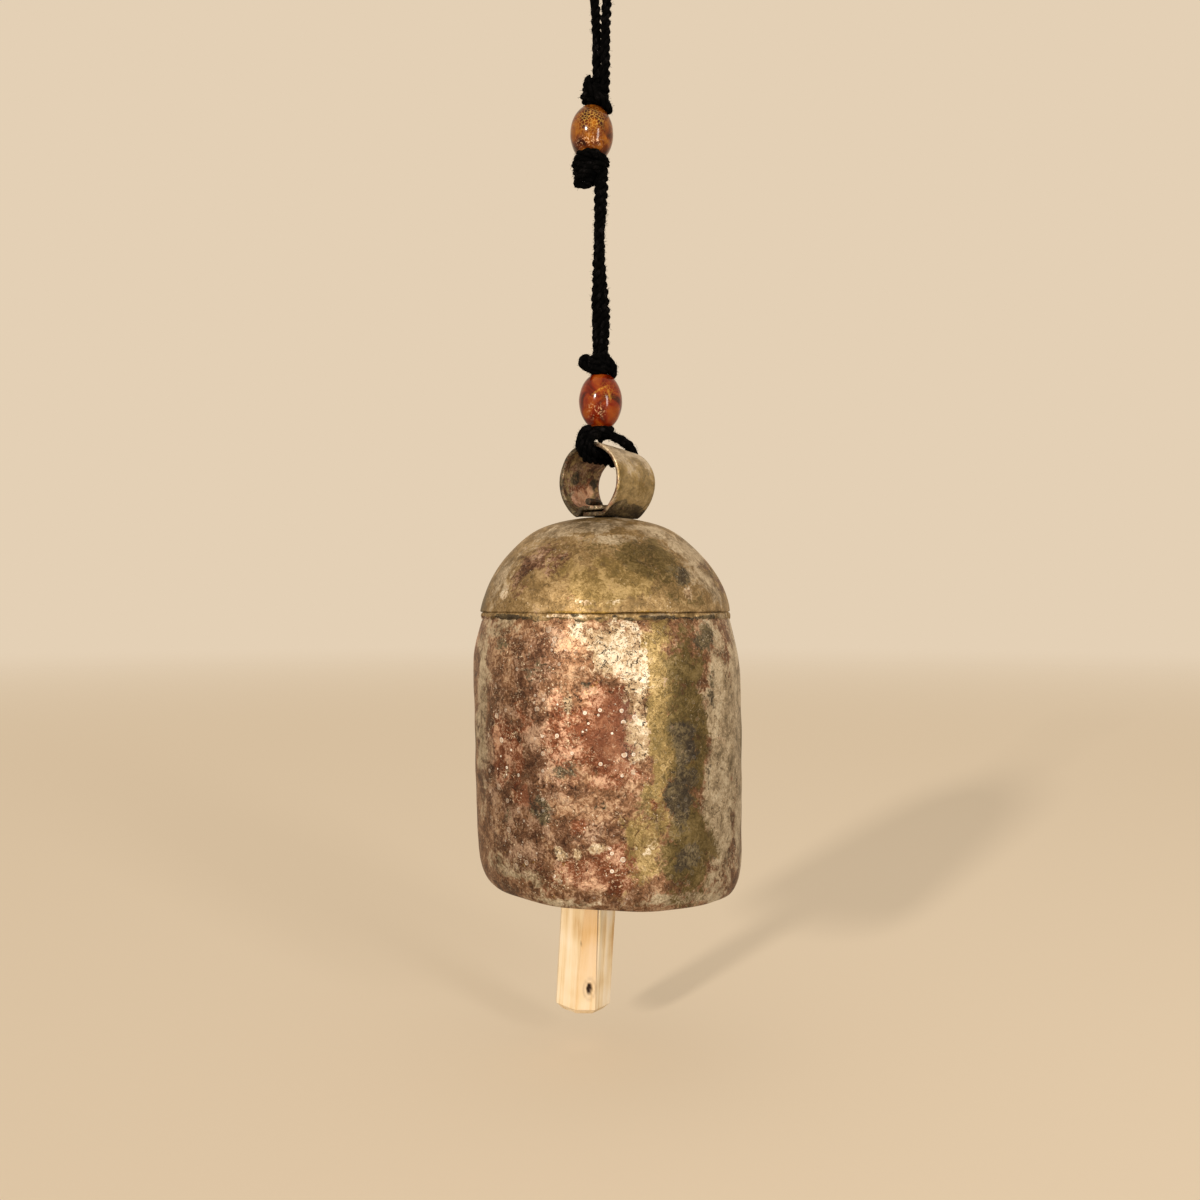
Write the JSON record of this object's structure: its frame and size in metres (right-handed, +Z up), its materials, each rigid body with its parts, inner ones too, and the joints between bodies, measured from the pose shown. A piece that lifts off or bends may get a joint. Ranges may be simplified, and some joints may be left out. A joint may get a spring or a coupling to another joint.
{
  "type": "hanging bell",
  "caption": "Rustic hanging bell: rolled sheet shell, lapped domed cap, curled strap ring, wire-hung wooden clapper, knotted cord with oval beads.",
  "frame": {"origin": "inside top of the cord's hanging loop, where a hook or nail holds it", "axes": "+Z up along the hanging cord; the strap ring's opening faces along Y; +X to the right of it"},
  "size_m": [0.0751, 0.076, 0.3092],
  "materials": {
    "cord": "black twisted cotton, matte with a faint sheen",
    "amber_resin": "glossy amber resin with gold crackle",
    "red_amber_resin": "glossy red-amber resin with a gold streak",
    "strap_metal": "pale olive brass outside, scorched copper and black inside",
    "cap_metal": "aged olive brass with grey flaked patches",
    "shell_metal": "fired copper and brass crust, mottled and speckled",
    "wire": "dark oxidised iron wire",
    "clapper_wood": "pale bare whittled wood"
  },
  "bodies": {
    "hanging_loop": {"hanging_loop": "cord"},
    "cord_strands": {"cord_strand_left": "cord", "cord_strand_right": "cord", "upper_knot_top": "cord", "upper_knot_bottom": "cord"},
    "upper_bead": {"upper_bead": "amber_resin"},
    "rope": {"rope": "cord", "lower_knot_top": "cord"},
    "lower_bead": {"lower_bead": "red_amber_resin"},
    "hitch_knot": {"hitch_knot": "cord"},
    "strap_hitch": {"strap_hitch": "cord"},
    "bell": {"hanger_strap": "strap_metal", "crown_cap": "cap_metal", "bell_shell": "shell_metal", "clapper_staple": "wire"},
    "clapper_link": {"clapper_link": "wire"},
    "clapper": {"clapper": "clapper_wood"}
  },
  "joints": [
    {"name": "cord_sway_front_back", "type": "hinge", "parent": "hanging_loop", "child": "cord_strands", "pos_m": [0, 0, -0.02015], "axis": [1, 0, 0], "range_deg": [-25, 25]},
    {"name": "upper_bead_spin", "type": "hinge", "parent": "cord_strands", "child": "upper_bead", "pos_m": [-0.0034, 0, -0.0566], "axis": [0, 0, 1], "continuous": true},
    {"name": "cord_sway_sideways", "type": "hinge", "parent": "cord_strands", "child": "rope", "pos_m": [-0.0004, 0, -0.07275], "axis": [0, 1, 0], "range_deg": [-25, 25]},
    {"name": "lower_bead_spin", "type": "hinge", "parent": "rope", "child": "lower_bead", "pos_m": [-0.0002, 0, -0.1333], "axis": [0, 0, 1], "continuous": true},
    {"name": "cord_twist", "type": "hinge", "parent": "rope", "child": "hitch_knot", "pos_m": [-0.0002, 0, -0.1409], "axis": [0, 0, 1], "range_deg": [-180, 180], "stiffness_Nm_per_rad": 0.0002},
    {"name": "hitch_sway", "type": "hinge", "parent": "hitch_knot", "child": "strap_hitch", "pos_m": [-0.0002, 0, -0.14186], "axis": [1, 0, 0], "range_deg": [-14, 14]},
    {"name": "bell_swing", "type": "hinge", "parent": "strap_hitch", "child": "bell", "pos_m": [0.0022, 0, -0.1564], "axis": [0, 1, 0], "range_deg": [-30, 30]},
    {"name": "link_swing", "type": "hinge", "parent": "bell", "child": "clapper_link", "pos_m": [0.0022, 0, -0.1758], "axis": [1, 0, 0], "range_deg": [-5.5, 5.5]},
    {"name": "clapper_swing", "type": "hinge", "parent": "clapper_link", "child": "clapper", "pos_m": [0.0022, 0, -0.1859], "axis": [0, 1, 0], "range_deg": [-19.6, 10.5]}
  ]
}
